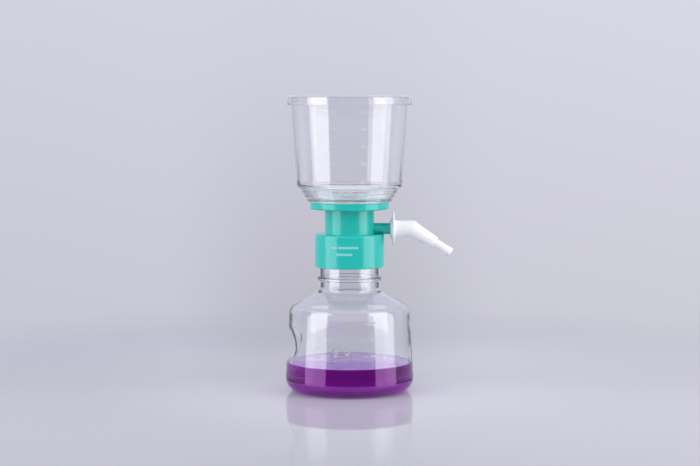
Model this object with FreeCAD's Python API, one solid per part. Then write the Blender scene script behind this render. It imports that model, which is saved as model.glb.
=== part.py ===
import FreeCAD, Part
import math
import os

# Vacuum filtration unit: a clear funnel and a teal adapter screwed on a receiver bottle.
# Millimetres. Z is the axis of the bottle and the funnel, and Z = 0 is the plane that the
# bottle stands on. The vacuum nipple and its white hose connector point along +X.

# ---- receiver bottle ----
bottle_base_radius = 47.15       # wall line carried down to the base plane
bottle_top_radius = 43.65        # wall line where it meets the shoulder
shoulder_height = 61.2           # height of the corner between wall and shoulder
shoulder_rise = 11.7             # from that corner up to the root of the neck
shoulder_corner_radius = 8.0
bottle_wall = 1.8
base_thickness = 2.2
base_corner_radius = 9.5
foot_ring_width = 4.5            # flat ring that the bottle stands on
push_up_height = 2.0             # how far the middle of the base stands off the table
push_up_slope_width = 6.0
push_up_fillet = 3.0
neck_radius = 21.7
neck_wall = 2.2
neck_length = 37.8               # root of the neck to the mouth
neck_root_radius = 3.0
mouth_fillet = 0.5
bead_above_root = 7.7            # root of the neck to the underside of the ring round it
bead_width = 2.4
bead_projection = 1.55
bead_fillet = 0.7

# ---- finger grip: a scallop across the wall on the side away from the nipple ----
grip_radius = 15.4
grip_depth = 6.5
grip_offset = -0.75              # from the middle of the straight wall
grip_edge_radius = 2.5

# ---- screw thread between bottle and collar ----
thread_pitch = 4.2
thread_turns = 1.0
thread_depth = 1.25
thread_root_width = 1.9
thread_crest_width = 1.0
thread_radial_gap = 0.3
thread_sunk = 0.4                # how far a ridge is rooted in its wall
thread_below_mouth = 4.4         # mouth to the middle of the bottle ridge's upper end

# ---- gasket ----
gasket_thickness = 1.5
gasket_width = 4.0
gasket_side_gap = 0.45           # to the collar's bore

# ---- adapter ----
collar_height = 24.0
collar_wall = 1.9
collar_roof = 2.0
collar_top_fillet = 1.4
collar_bottom_fillet = 0.7
stem_radius = 17.95
stem_wall = 2.0
stem_length = 17.8
stem_fillet = 0.6
flange_margin = 3.75             # flange's rim beyond the membrane's edge
flange_thickness = 5.4
flange_edge_fillet = 1.3
chamber_roof = 2.6               # from the chamber's ceiling to the floor of the drain dish
drip_tube_radius = 5.5
drip_tube_wall = 1.5
drip_tube_below_mouth = 15.1     # bottle's mouth to the tip of the tube
drip_tip_angle = 35.0            # slant of the tube's cut end, degrees

# ---- support ribs in the drain dish under the membrane ----
rib_count = 24
rib_width = 0.9
rib_to_drain = 1.2               # inner end of the long ribs to the drain's edge
short_rib_inset = 6.8            # how much shorter every second rib is
rib_ring_count = 3
rib_ring_first = 9.0             # inner radius of the innermost ring
rib_ring_spacing = 5.0
rib_ring_width = 0.8
rib_ring_drop = 0.7              # ring tops lie this far under the rib tops

# ---- membrane ----
membrane_radius = 25.0
membrane_thickness = 0.2
membrane_side_gap = 0.2

# ---- funnel ----
funnel_height = 75.2
funnel_wall = 1.6
funnel_taper = 4.45              # how much wider the brim is than the wall's lower end
funnel_base_height = 11.0        # height of that end above the flange
funnel_base_step = 1.65          # wall's lower end beyond the top terrace
funnel_corner_radius = 3.5
funnel_floor_height = 12.8       # inner corner of wall and floor above the flange
funnel_floor_corner_radius = 1.5
brim_fillet = 0.4
terrace_count = 3
terrace_width = 7.1              # from the foot ring out to the top terrace
terrace_top_height = 9.6
terrace_ledge = 1.4
terrace_fillet = 0.4
foot_overhang = 0.65             # foot ring beyond the flange's rim
foot_ring_height = 0.5
clamp_width = 1.5                # how much of the membrane's edge the foot covers
clamp_ledge_thickness = 1.3
clamp_slope_width = 3.6
clamp_slope_rise = 1.3

# ---- lid ----
lid_gap = 0.4                    # between the skirt and the funnel's brim
lid_wall = 1.25
lid_plate = 1.3
lid_skirt = 5.5                  # skirt depth below the brim
lid_flare = 0.95                 # the skirt's foot stands out by this much
lid_top_fillet = 1.2
lid_foot_fillet = 0.3

# ---- side nipple and its plug ----
nipple_radius = 4.1
nipple_wall = 2.1
nipple_sunk = 0.5                # how far the nipple dips into the collar's top
nipple_insert = 12.4             # length that the connector's socket covers
nipple_fillet = 0.5
plug_length = 7.0
plug_from_end = 14.0             # free end of the nipple to the middle of the plug
plug_gap = 0.02

# ---- hose connector ----
running_gap = 0.05               # radial clearance of the socket on the nipple
connector_gap = 4.35             # collar's side to the socket's mouth
connector_wall = 1.75
socket_end_gap = 0.4
knee_distance = 3.1              # nipple's end to the bend
hub_step = 0.5                   # hub's rim beyond the straight tube
hub_cone_step = 2.3              # foot of the hub's cone beyond the straight tube
hub_length = 4.1
disc_radius = 12.0
disc_thickness = 1.5
disc_setback = 1.6               # socket's mouth to the disc
disc_fillet = 0.45
bend_angle = 31.5                # degrees below the horizontal
cone_length = 20.0
cone_end_step = 1.1              # shoulder from the cone down to the tip
cone_end_band = 1.2              # straight band between the cone and the shoulder
cone_end_fillet = 0.6
tip_radius = 3.3
tip_wall = 1.1
tip_length = 13.5
tip_chamfer = 0.4

# ---- filtrate ----
filtrate_level = 20.9

# ---- places worked out from the sizes above ----
neck_root_height = shoulder_height + shoulder_rise
mouth_height = neck_root_height + neck_length
neck_bore = neck_radius - neck_wall
grip_height = (base_corner_radius + shoulder_height) / 2 + grip_offset
collar_bore = neck_radius + thread_depth + thread_radial_gap
collar_radius = collar_bore + collar_wall
gasket_top = mouth_height + gasket_thickness
collar_top = gasket_top + collar_roof
collar_bottom = collar_top - collar_height
chamber_radius = stem_radius - stem_wall
drip_tube_bore = drip_tube_radius - drip_tube_wall
drip_tip_height = mouth_height - drip_tube_below_mouth
flange_radius = membrane_radius + flange_margin
flange_bottom = collar_top + stem_length
flange_top = flange_bottom + flange_thickness
membrane_seat = flange_top - membrane_thickness
dish_radius = membrane_radius - clamp_width
dish_floor = flange_bottom + chamber_roof
foot_ring_radius = flange_radius + foot_overhang
terrace_top_radius = foot_ring_radius + terrace_width
funnel_base_radius = terrace_top_radius + funnel_base_step
funnel_brim_radius = funnel_base_radius + funnel_taper
brim_height = flange_top + funnel_height
nipple_height = collar_top + nipple_radius - nipple_sunk
nipple_bore = nipple_radius - nipple_wall
socket_mouth = collar_radius + connector_gap
nipple_end = socket_mouth + nipple_insert
connector_radius = nipple_radius + running_gap + connector_wall
bend_distance = nipple_end + knee_distance
cone_end_radius = tip_radius + cone_end_step
passage_radius = tip_radius - tip_wall
z_axis = FreeCAD.Vector(0, 0, 1)
origin = FreeCAD.Vector(0, 0, 0)


def rounded_wire(corners):
    """Closed wire in the XZ plane through corners (x, z, radius), each rounded by its radius."""
    points = [FreeCAD.Vector(x, 0, z) for x, z, _ in corners]
    starts, ends, arcs = [], [], []
    for i, (_, _, radius) in enumerate(corners):
        corner = points[i]
        to_last = (points[i - 1] - corner).normalize()
        to_next = (points[(i + 1) % len(points)] - corner).normalize()
        half = to_last.getAngle(to_next) / 2
        if radius <= 0:
            starts.append(corner)
            ends.append(corner)
            arcs.append(None)
            continue
        reach = radius / math.tan(half)
        middle = (to_last + to_next).normalize()
        centre = corner + middle * (radius / math.sin(half))
        starts.append(corner + to_last * reach)
        ends.append(corner + to_next * reach)
        arcs.append(Part.Arc(starts[i], centre - middle * radius, ends[i]).toShape())
    edges = []
    for i, arc in enumerate(arcs):
        if arc:
            edges.append(arc)
        following = starts[(i + 1) % len(points)]
        if ends[i].distanceToPoint(following) > 1e-6:
            edges.append(Part.LineSegment(ends[i], following).toShape())
    return Part.Wire(edges)


def turned(corners):
    """Solid of revolution about Z with the outline of the given corners."""
    return Part.Face(rounded_wire(corners)).revolve(origin, z_axis, 360)


def ring(inner, outer, low, high):
    """Plain ring about Z."""
    return turned([(inner, low, 0), (outer, low, 0), (outer, high, 0), (inner, high, 0)])


def disc(radius, low, high):
    """Plain round plate or plug about Z."""
    return Part.makeCylinder(radius, high - low, FreeCAD.Vector(0, 0, low))


def save(name, shape):
    """Write one piece, cleaned of needless seams, to its STEP file."""
    shape.removeSplitter().exportStep(f"parts/{name}.step")


# ---- receiver bottle ----

def wall_radius(height):
    """Outer radius of the bottle's wall at a height."""
    share = height / shoulder_height
    return bottle_base_radius + (bottle_top_radius - bottle_base_radius) * share


def shoulder_line(radius, depth):
    """Height of the shoulder's cone at a radius, depth under its outer face."""
    angle = math.atan2(shoulder_rise, bottle_top_radius - neck_radius)
    rise = (bottle_top_radius - radius) * math.tan(angle)
    return shoulder_height + rise - depth / math.cos(angle)


def foot_ring_inner():
    """Inner radius of the flat ring that the bottle stands on."""
    return bottle_base_radius - base_corner_radius - foot_ring_width


def bottle_outside():
    """Solid of the bottle's outer form: base, wall, shoulder, neck and bead."""
    foot = foot_ring_inner()
    bead_height = neck_root_height + bead_above_root
    bead_top = bead_height + bead_width
    bead_radius = neck_radius + bead_projection
    return turned([
        (0, push_up_height, 0),
        (foot - push_up_slope_width, push_up_height, push_up_fillet),
        (foot, 0, push_up_fillet),
        (bottle_base_radius, 0, base_corner_radius),
        (bottle_top_radius, shoulder_height, shoulder_corner_radius),
        (neck_radius, neck_root_height, neck_root_radius),
        (neck_radius, bead_height, 0),
        (bead_radius, bead_height, bead_fillet),
        (bead_radius, bead_top, bead_fillet),
        (neck_radius, bead_top, 0),
        (neck_radius, mouth_height, mouth_fillet),
        (0, mouth_height, 0),
    ])


def bottle_cavity():
    """Solid of the space inside the bottle, with the grip's inner side pushed into it."""
    foot = foot_ring_inner()
    middle = push_up_height + base_thickness
    base_corner = wall_radius(base_thickness) - bottle_wall
    top_radius = bottle_top_radius - bottle_wall
    cavity = turned([
        (0, middle, 0),
        (foot - push_up_slope_width, middle, push_up_fillet),
        (foot, base_thickness, push_up_fillet),
        (base_corner, base_thickness, base_corner_radius - bottle_wall),
        (top_radius, shoulder_line(top_radius, bottle_wall), shoulder_corner_radius - bottle_wall),
        (neck_bore, shoulder_line(neck_bore, bottle_wall), neck_root_radius + bottle_wall),
        (neck_bore, mouth_height, 0),
        (0, mouth_height, 0),
    ])
    return with_grip(cavity, grip_radius + bottle_wall, grip_edge_radius + bottle_wall)


def grip_roller(radius):
    """Cylinder along Y whose side presses the finger grip into the wall at -X."""
    reach = wall_radius(grip_height)
    centre = FreeCAD.Vector(-(reach - grip_depth + grip_radius), -reach, grip_height)
    return Part.makeCylinder(radius, 2 * reach, centre, FreeCAD.Vector(0, 1, 0))


def with_grip(body, radius, edge_radius):
    """A form of revolution with the grip's scallop cut from it and the scallop's rim rounded."""
    pressed = body.cut(grip_roller(radius))
    rim = [
        edge
        for face in pressed.Faces
        if isinstance(face.Surface, Part.Cylinder)
        and abs(abs(face.Surface.Axis.y) - 1) < 1e-6
        for edge in face.Edges
    ]
    return pressed.makeFillet(edge_radius, rim)


def thread_ridge(radius, outward, low):
    """Right-hand helical ridge on a wall of the given radius; its lower end is centred at low."""
    root = radius - outward * thread_sunk
    crest = radius + outward * thread_depth
    outline = Part.makePolygon([
        FreeCAD.Vector(root, 0, -thread_root_width / 2),
        FreeCAD.Vector(crest, 0, -thread_crest_width / 2),
        FreeCAD.Vector(crest, 0, thread_crest_width / 2),
        FreeCAD.Vector(root, 0, thread_root_width / 2),
        FreeCAD.Vector(root, 0, -thread_root_width / 2),
    ])
    helix = Part.makeHelix(thread_pitch, thread_turns * thread_pitch, radius)
    ridge = Part.Wire(helix.Edges).makePipeShell([outline], True, True)
    ridge.translate(FreeCAD.Vector(0, 0, low))
    return ridge


def bottle_thread_low():
    """Height of the middle of the bottle thread's lower end."""
    return mouth_height - thread_below_mouth - thread_turns * thread_pitch


def make_bottle():
    """Blown bottle: outer form with its grip and thread, less the space inside."""
    ridge = thread_ridge(neck_radius, 1, bottle_thread_low())
    outside = with_grip(bottle_outside(), grip_radius, grip_edge_radius)
    return outside.fuse(ridge).cut(bottle_cavity())


def make_filtrate():
    """Liquid that fills the bottle's cavity up to its level."""
    below_level = disc(bottle_base_radius, 0, filtrate_level)
    return bottle_cavity().common(below_level)


# ---- closure ----

def make_gasket():
    """Flat ring between the bottle's mouth and the collar's roof."""
    outer = collar_bore - gasket_side_gap
    return ring(outer - gasket_width, outer, mouth_height, gasket_top)


def adapter_outside():
    """Solid of the adapter's outer form: collar, stem and flange."""
    return turned([
        (0, collar_bottom, 0),
        (collar_radius, collar_bottom, collar_bottom_fillet),
        (collar_radius, collar_top, collar_top_fillet),
        (stem_radius, collar_top, stem_fillet),
        (stem_radius, flange_bottom, stem_fillet),
        (flange_radius, flange_bottom, flange_edge_fillet),
        (flange_radius, flange_top, flange_edge_fillet),
        (0, flange_top, 0),
    ])


def drip_tube():
    """Tube that hangs from the chamber's ceiling into the bottle, cut off on the slant."""
    low = drip_tip_height
    tube = disc(drip_tube_radius, low, flange_bottom)
    slant = 2 * drip_tube_radius * math.tan(math.radians(drip_tip_angle))
    wedge = Part.Face(Part.makePolygon([
        FreeCAD.Vector(-drip_tube_radius, -drip_tube_radius, low),
        FreeCAD.Vector(drip_tube_radius, -drip_tube_radius, low),
        FreeCAD.Vector(drip_tube_radius, -drip_tube_radius, low + slant),
        FreeCAD.Vector(-drip_tube_radius, -drip_tube_radius, low),
    ])).extrude(FreeCAD.Vector(0, 2 * drip_tube_radius, 0))
    return tube.cut(wedge)


def support_ribs():
    """Radial ribs, long and short in turn, and lower rings, which carry the membrane."""
    ribs = []
    for i in range(rib_count):
        inner = drip_tube_bore + rib_to_drain + (short_rib_inset if i % 2 else 0)
        corner = FreeCAD.Vector(inner, -rib_width / 2, dish_floor)
        length = dish_radius + rib_width - inner
        rib = Part.makeBox(length, rib_width, membrane_seat - dish_floor, corner)
        rib.rotate(origin, z_axis, 360 * i / rib_count)
        ribs.append(rib)
    for i in range(rib_ring_count):
        inner = rib_ring_first + i * rib_ring_spacing
        ribs.append(ring(inner, inner + rib_ring_width, dish_floor, membrane_seat - rib_ring_drop))
    inside_dish = disc(dish_radius, dish_floor, membrane_seat)
    return ribs[0].multiFuse(ribs[1:]).common(inside_dish)


def nipple():
    """Side tube on the stem that takes the hose connector."""
    start = FreeCAD.Vector(chamber_radius, 0, nipple_height)
    tube = Part.makeCylinder(nipple_radius, nipple_end - chamber_radius, start, FreeCAD.Vector(1, 0, 0))
    free_end = [e for e in tube.Edges if e.CenterOfMass.x > nipple_end - 1e-6]
    return tube.makeFillet(nipple_fillet, free_end)


def collar_thread_low():
    """Lower end of the collar's ridge: half a pitch under the bottle's, so the ridges interlock."""
    return bottle_thread_low() - thread_pitch / 2


def make_adapter():
    """Teal moulding: flange with drain dish, stem with vacuum chamber, collar and nipple."""
    body = adapter_outside().fuse(nipple())
    hollows = [
        disc(collar_bore, collar_bottom, gasket_top),
        disc(chamber_radius, gasket_top, flange_bottom),
        disc(dish_radius, dish_floor, membrane_seat),
        disc(membrane_radius + membrane_side_gap, membrane_seat, flange_top),
    ]
    for hollow in hollows:
        body = body.cut(hollow)
    ridge = thread_ridge(collar_bore, -1, collar_thread_low())
    body = body.fuse([drip_tube(), support_ribs(), ridge])
    drain = disc(drip_tube_bore, drip_tip_height, dish_floor)
    start = FreeCAD.Vector((drip_tube_radius + chamber_radius) / 2, 0, nipple_height)
    bore = Part.makeCylinder(nipple_bore, nipple_end, start, FreeCAD.Vector(1, 0, 0))
    return body.cut(drain).cut(bore)


def make_port_plug():
    """Fibre plug inside the nipple's bore."""
    start = FreeCAD.Vector(nipple_end - plug_from_end - plug_length / 2, 0, nipple_height)
    return Part.makeCylinder(nipple_bore - plug_gap, plug_length, start, FreeCAD.Vector(1, 0, 0))


# ---- filter and funnel ----

def make_membrane():
    """Filter disc on the ribs, its edge under the funnel's foot."""
    return disc(membrane_radius, membrane_seat, flange_top)


def terraces():
    """Outline corners of the stepped cone under the funnel, from the top step to the foot."""
    drop = (terrace_top_height - foot_ring_height) / terrace_count
    run = (terrace_top_radius - foot_ring_radius - terrace_ledge) / terrace_count
    corners = []
    for i in range(terrace_count):
        radius = terrace_top_radius - i * run
        height = flange_top + terrace_top_height - i * drop
        corners.append((radius, height, terrace_fillet))
        corners.append((radius - terrace_ledge, height, terrace_fillet))
    corners.append((foot_ring_radius + terrace_ledge, flange_top + foot_ring_height, 0))
    corners.append((foot_ring_radius, flange_top + foot_ring_height, 0))
    corners.append((foot_ring_radius, flange_top, 0))
    return corners


def make_funnel():
    """Clear cup: tapered wall, stepped conical bottom and the ledge that clamps the membrane."""
    wall_end = flange_top + funnel_base_height
    ledge = flange_top + clamp_ledge_thickness
    floor_corner = funnel_corner_radius - funnel_wall
    outside = [
        (funnel_brim_radius, brim_height, brim_fillet),
        (funnel_base_radius, wall_end, funnel_corner_radius),
    ]
    inside = [
        (dish_radius, flange_top, 0),
        (dish_radius, ledge, 0),
        (dish_radius + clamp_slope_width, ledge + clamp_slope_rise, funnel_floor_corner_radius),
        (funnel_base_radius - funnel_wall, flange_top + funnel_floor_height, floor_corner),
        (funnel_brim_radius - funnel_wall, brim_height, brim_fillet),
    ]
    return turned(outside + terraces() + inside)


def make_lid():
    """Dust lid: flat plate on the brim and a skirt that flares downwards."""
    top_radius = funnel_brim_radius + lid_gap + lid_wall
    foot_radius = top_radius + lid_flare
    foot = brim_height - lid_skirt
    return turned([
        (0, brim_height, 0),
        (top_radius - lid_wall, brim_height, lid_foot_fillet),
        (foot_radius - lid_wall, foot, lid_foot_fillet),
        (foot_radius, foot, lid_foot_fillet),
        (top_radius, brim_height + lid_plate, lid_top_fillet),
        (0, brim_height + lid_plate, 0),
    ])


# ---- hose connector ----

def along_x(shape, distance):
    """A shape turned about Z laid along +X on the nipple's axis, its Z = 0 at a distance."""
    shape.rotate(origin, FreeCAD.Vector(0, 1, 0), 90)
    shape.translate(FreeCAD.Vector(distance, 0, nipple_height))
    return shape


def along_slope(shape):
    """A shape turned about Z laid along the connector's lower leg, its Z = 0 at the bend."""
    shape.rotate(origin, FreeCAD.Vector(0, 1, 0), 90 + bend_angle)
    shape.translate(FreeCAD.Vector(bend_distance, 0, nipple_height))
    return shape


def mitre_block(side):
    """Block on one side (-1 nipple, +1 tip) of the plane that halves the bend."""
    size = 4 * cone_length
    block = Part.makeBox(size, size, size, FreeCAD.Vector(0, -size / 2, -size / 2))
    if side < 0:
        block.translate(FreeCAD.Vector(-size, 0, 0))
    block.rotate(origin, FreeCAD.Vector(0, 1, 0), bend_angle / 2)
    block.translate(FreeCAD.Vector(bend_distance, 0, nipple_height))
    return block


def connector_head():
    """Hub, disc and straight tube of the connector, up to the bend."""
    length = bend_distance - socket_mouth
    disc_back = disc_setback + disc_thickness
    hub_radius = connector_radius + hub_step
    head = turned([
        (0, 0, 0),
        (hub_radius, 0, 0),
        (connector_radius + hub_cone_step, disc_setback, 0),
        (disc_radius, disc_setback, disc_fillet),
        (disc_radius, disc_back, disc_fillet),
        (hub_radius, disc_back, 0),
        (connector_radius, hub_length, 0),
        (connector_radius, length + connector_radius, 0),
        (0, length + connector_radius, 0),
    ])
    return along_x(head, socket_mouth).common(mitre_block(-1))


def oval(centre, tilt, tall, wide):
    """Closed oval about a point on the connector, its plane tilted from upright by an angle."""
    up = FreeCAD.Vector(math.sin(math.radians(tilt)), 0, math.cos(math.radians(tilt)))
    side = FreeCAD.Vector(0, 1, 0)
    return Part.Wire(Part.Ellipse(centre + up * tall, centre + side * wide, centre).toShape())


def connector_cone():
    """Sloping cone, drawn from the straight tube's oval end at the bend to a round end."""
    knee = FreeCAD.Vector(bend_distance, 0, nipple_height)
    length = cone_length - cone_end_band
    angle = math.radians(bend_angle)
    end = knee + FreeCAD.Vector(math.cos(angle), 0, -math.sin(angle)) * length
    tall = connector_radius / math.cos(angle / 2)
    at_bend = oval(knee, bend_angle / 2, tall, connector_radius)
    at_end = oval(end, bend_angle, cone_end_radius, cone_end_radius)
    return Part.makeLoft([at_bend, at_end], True, True)


def connector_tip():
    """Short band after the cone, its shoulder and the round tip for the hose."""
    end = cone_length + tip_length
    return along_slope(turned([
        (0, cone_length - cone_end_band, 0),
        (cone_end_radius, cone_length - cone_end_band, 0),
        (cone_end_radius, cone_length, cone_end_fillet),
        (tip_radius, cone_length, 0),
        (tip_radius, end - tip_chamfer, 0),
        (tip_radius - tip_chamfer, end, 0),
        (0, end, 0),
    ]))


def bent_passage():
    """Round bore from the socket through the bend to the tip, mitred like the tube."""
    past_bend = bend_distance - socket_mouth + connector_radius
    straight = along_x(disc(passage_radius, 0, past_bend), socket_mouth)
    slope = along_slope(disc(passage_radius, -connector_radius, cone_length + tip_length))
    return straight.common(mitre_block(-1)).fuse(slope.common(mitre_block(1)))


def make_hose_connector():
    """White elbow: socket over the nipple, bent tube and tip for the hose, bored through."""
    socket_depth = nipple_end + socket_end_gap - socket_mouth
    socket = along_x(disc(nipple_radius + running_gap, 0, socket_depth), socket_mouth)
    body = connector_head().fuse([connector_cone(), connector_tip()])
    return body.cut([socket, bent_passage()])


os.makedirs("parts", exist_ok=True)
save("bottle", make_bottle())
save("filtrate", make_filtrate())
save("neck_gasket", make_gasket())
save("adapter", make_adapter())
save("port_plug", make_port_plug())
save("membrane", make_membrane())
save("funnel", make_funnel())
save("lid", make_lid())
save("hose_connector", make_hose_connector())
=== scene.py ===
import logging
import math
from collections.abc import Callable, Sequence
from dataclasses import dataclass, field, replace
from enum import Enum
from functools import cached_property, reduce

import bpy
import numpy as np
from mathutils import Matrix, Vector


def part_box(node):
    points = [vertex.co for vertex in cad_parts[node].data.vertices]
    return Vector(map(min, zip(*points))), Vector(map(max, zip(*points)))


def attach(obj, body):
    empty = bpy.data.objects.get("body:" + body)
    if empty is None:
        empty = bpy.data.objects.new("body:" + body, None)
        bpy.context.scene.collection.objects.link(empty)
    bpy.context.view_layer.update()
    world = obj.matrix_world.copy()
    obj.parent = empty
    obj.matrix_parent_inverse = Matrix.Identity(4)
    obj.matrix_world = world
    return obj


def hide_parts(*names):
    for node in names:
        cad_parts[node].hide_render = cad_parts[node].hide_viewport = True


# Looks of the vacuum filtration unit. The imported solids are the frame. The adapter, gasket,
# plug, membrane and hose connector keep their solids and get their finishes here. The clear
# lid, funnel and bottle and the purple filtrate are drawn again as smooth, even grids, because
# light bends through them. The unit's sizes are in millimetres and its meshes in metres. The
# studio's sizes are in metres.

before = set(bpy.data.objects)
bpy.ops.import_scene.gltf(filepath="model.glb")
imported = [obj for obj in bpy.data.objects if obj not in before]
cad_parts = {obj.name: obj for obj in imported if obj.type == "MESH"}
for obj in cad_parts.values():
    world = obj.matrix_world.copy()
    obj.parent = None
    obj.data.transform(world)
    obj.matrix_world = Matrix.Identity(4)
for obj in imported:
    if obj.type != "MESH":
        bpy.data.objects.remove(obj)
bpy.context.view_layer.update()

MM = 0.001
ROUND_STEPS = 192                # grid columns round a turned piece
FEWEST_ARC_STEPS = 3             # steps of the smallest rounding
ON_AXIS = 1e-9                   # radius under which a point lies on the axis
SHARP_ANGLE = math.radians(30)   # edges that turn by more stay sharp
DIGIT_SHARE = 0.7                # a digit's height over the size of its font
DIGIT_CURVE_STEPS = 3            # steps of each curve in a digit
LOG = logging.getLogger("filtration_unit")

Corner = tuple[float, float, float]
Colour = tuple[float, float, float]
Range = tuple[float, float]
Socket = bpy.types.NodeSocket
Outputs = bpy.types.bpy_prop_collection


# ---- shapes ----

@dataclass
class Shell:
    """Closed surface: points in millimetres, the faces between them and each face's finish."""

    points: np.ndarray
    faces: list[list[int]]
    finish: np.ndarray | None = None


def span(node: str) -> tuple[np.ndarray, np.ndarray]:
    """Lowest and highest corner of a solid of the frame, in millimetres."""
    low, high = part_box(node)
    return np.array(low) / MM, np.array(high) / MM


def rounded(corners: Sequence[Corner], arc_step: float = 9.0) -> np.ndarray:
    """Open outline through corners whose inner ones are replaced by arcs.

    An arc touches both runs at rounding / tan(half) from its corner, where half is half the
    angle between the runs, and its centre lies on their bisector at rounding / sin(half).

    Args:
        corners: Radius, height and rounding of each corner, in order.
        arc_step: Largest turn between two points of an arc, in degrees.

    Returns:
        Array of (radius, height) points.
    """
    places = np.array([corner[:2] for corner in corners], float)
    parts = [places[:1]]
    for i in range(1, len(corners) - 1):
        corner, rounding = places[i], corners[i][2]
        if rounding <= 0:
            parts.append(corner[None])
            continue
        back = places[i - 1] - corner
        ahead = places[i + 1] - corner
        back, ahead = back / np.linalg.norm(back), ahead / np.linalg.norm(ahead)
        half = math.acos(np.clip(back @ ahead, -1, 1)) / 2
        bisector = (back + ahead) / np.linalg.norm(back + ahead)
        centre = corner + bisector * rounding / math.sin(half)
        start = corner + back * rounding / math.tan(half) - centre
        turn = math.pi - 2 * half
        side = math.copysign(1.0, back[0] * ahead[1] - back[1] * ahead[0])
        count = max(FEWEST_ARC_STEPS, math.ceil(math.degrees(turn) / arc_step))
        angle = -side * np.linspace(0, turn, count + 1)
        cosine, sine = np.cos(angle), np.sin(angle)
        arc = np.stack([start[0] * cosine - start[1] * sine,
                        start[0] * sine + start[1] * cosine], axis=1)
        parts.append(centre + arc)
    parts.append(places[-1:])
    return np.vstack(parts)


def refined(outline: np.ndarray, spacing: float, low: float = -math.inf,
            high: float = math.inf) -> np.ndarray:
    """Outline with its long steps cut into equal shares.

    Args:
        outline: Array of (radius, height) points.
        spacing: Longest step that stays.
        low: Steps whose middle lies lower are left alone.
        high: Steps whose middle lies higher are left alone.

    Returns:
        The outline with points added on its straight steps.
    """
    step = np.diff(outline, axis=0)
    length = np.linalg.norm(step, axis=1)
    middle = outline[:-1, 1] + step[:, 1] / 2
    asked = np.where((middle > low) & (middle < high), np.ceil(length / spacing), 1)
    count = np.maximum(asked, 1).astype(int)
    run = np.repeat(np.arange(len(step)), count)
    first = np.repeat(np.cumsum(count) - count, count)
    share = (np.arange(len(run)) - first) / count[run]
    return np.vstack([outline[run] + step[run] * share[:, None], outline[-1:]])


def grid_faces(rows: int, columns: int, looped: bool = False) -> list[list[int]]:
    """Quads of a grid whose last column meets its first one.

    Grid point (i, j) has the number i columns + j.

    Args:
        rows: Number of rows.
        columns: Number of columns.
        looped: Whether the last row meets the first one too.

    Returns:
        Four point numbers for each face.
    """
    lower = np.arange(rows if looped else rows - 1)[:, None]
    upper = (lower + 1) % rows
    left = np.arange(columns)
    right = (left + 1) % columns
    quads = np.stack([lower * columns + left, lower * columns + right,
                      upper * columns + right, upper * columns + left], axis=2)
    return quads.reshape(-1, 4).tolist()


def turned(outline: np.ndarray, moved: Callable[[np.ndarray], np.ndarray] | None = None,
           steps: int = ROUND_STEPS) -> Shell:
    """Surface of revolution about Z, with faces outward.

    Grid point (i, j) is outline point i turned by j / steps of a full turn. An outline with
    both ends on the axis is closed by two poles, and any other is closed into a loop.

    Args:
        outline: Array of (radius, height) points, in either direction.
        moved: Takes the grid of points (rows, steps, 3) and gives it back reshaped.
        steps: Grid columns.

    Returns:
        The closed shell.
    """
    following = np.roll(outline, -1, axis=0)
    area = np.sum(outline[:, 0] * following[:, 1] - following[:, 0] * outline[:, 1])
    outline = outline if area > 0 else outline[::-1]
    poles = outline[0, 0] < ON_AXIS and outline[-1, 0] < ON_AXIS
    rows = outline[1:-1] if poles else outline
    angle = np.linspace(0, 2 * math.pi, steps, endpoint=False)
    grid = np.stack([rows[:, :1] * np.cos(angle), rows[:, :1] * np.sin(angle),
                     np.repeat(rows[:, 1:], steps, axis=1)], axis=2)
    if moved is not None:
        grid = moved(grid)
    points = grid.reshape(-1, 3)
    faces = grid_faces(len(rows), steps, looped=not poles)
    if poles:
        low, high = len(points), len(points) + 1
        points = np.vstack([points, [[0, 0, outline[0, 1]], [0, 0, outline[-1, 1]]]])
        left = np.arange(steps)
        right = (left + 1) % steps
        last = (len(rows) - 1) * steps
        faces += np.stack([np.full(steps, low), right, left], axis=1).tolist()
        faces += np.stack([last + left, last + right, np.full(steps, high)], axis=1).tolist()
    return Shell(points, faces)


def earliest(shell: Shell) -> np.ndarray:
    """Number of each face's earliest point, which tells the face's grid row."""
    return np.array([min(face) for face in shell.faces])


def joined(shells: Sequence[Shell]) -> Shell:
    """Several shells as one.

    Args:
        shells: The shells, without finishes.

    Returns:
        One shell with all their points and faces.
    """
    points, faces, first = [], [], 0
    for shell in shells:
        points.append(shell.points)
        faces += [[first + corner for corner in face] for face in shell.faces]
        first += len(shell.points)
    return Shell(np.vstack(points), faces)


def bar(length: float, height: float, thickness: float, steps: int = 8) -> Shell:
    """Flat bar: a rectangle height by thickness carried along its length in equal steps.

    Args:
        length: Size across, centred on 0.
        height: Size up, centred on 0.
        thickness: How far it stands proud of 0.
        steps: Grid steps along the length, so that it can follow a round wall.

    Returns:
        Closed shell in flat coordinates (across, up, proud).
    """
    corners = 4
    across = np.repeat(np.linspace(-length / 2, length / 2, steps + 1), corners)
    up = np.tile(np.array([-1, 1, 1, -1]) * height / 2, steps + 1)
    proud = np.tile(np.array([0, 0, 1, 1]) * thickness, steps + 1)
    last = steps * corners
    faces = grid_faces(steps + 1, corners)
    faces += [[0, 1, 2, 3], [last + 3, last + 2, last + 1, last]]
    return Shell(np.stack([across, up, proud], axis=1), faces)


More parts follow.
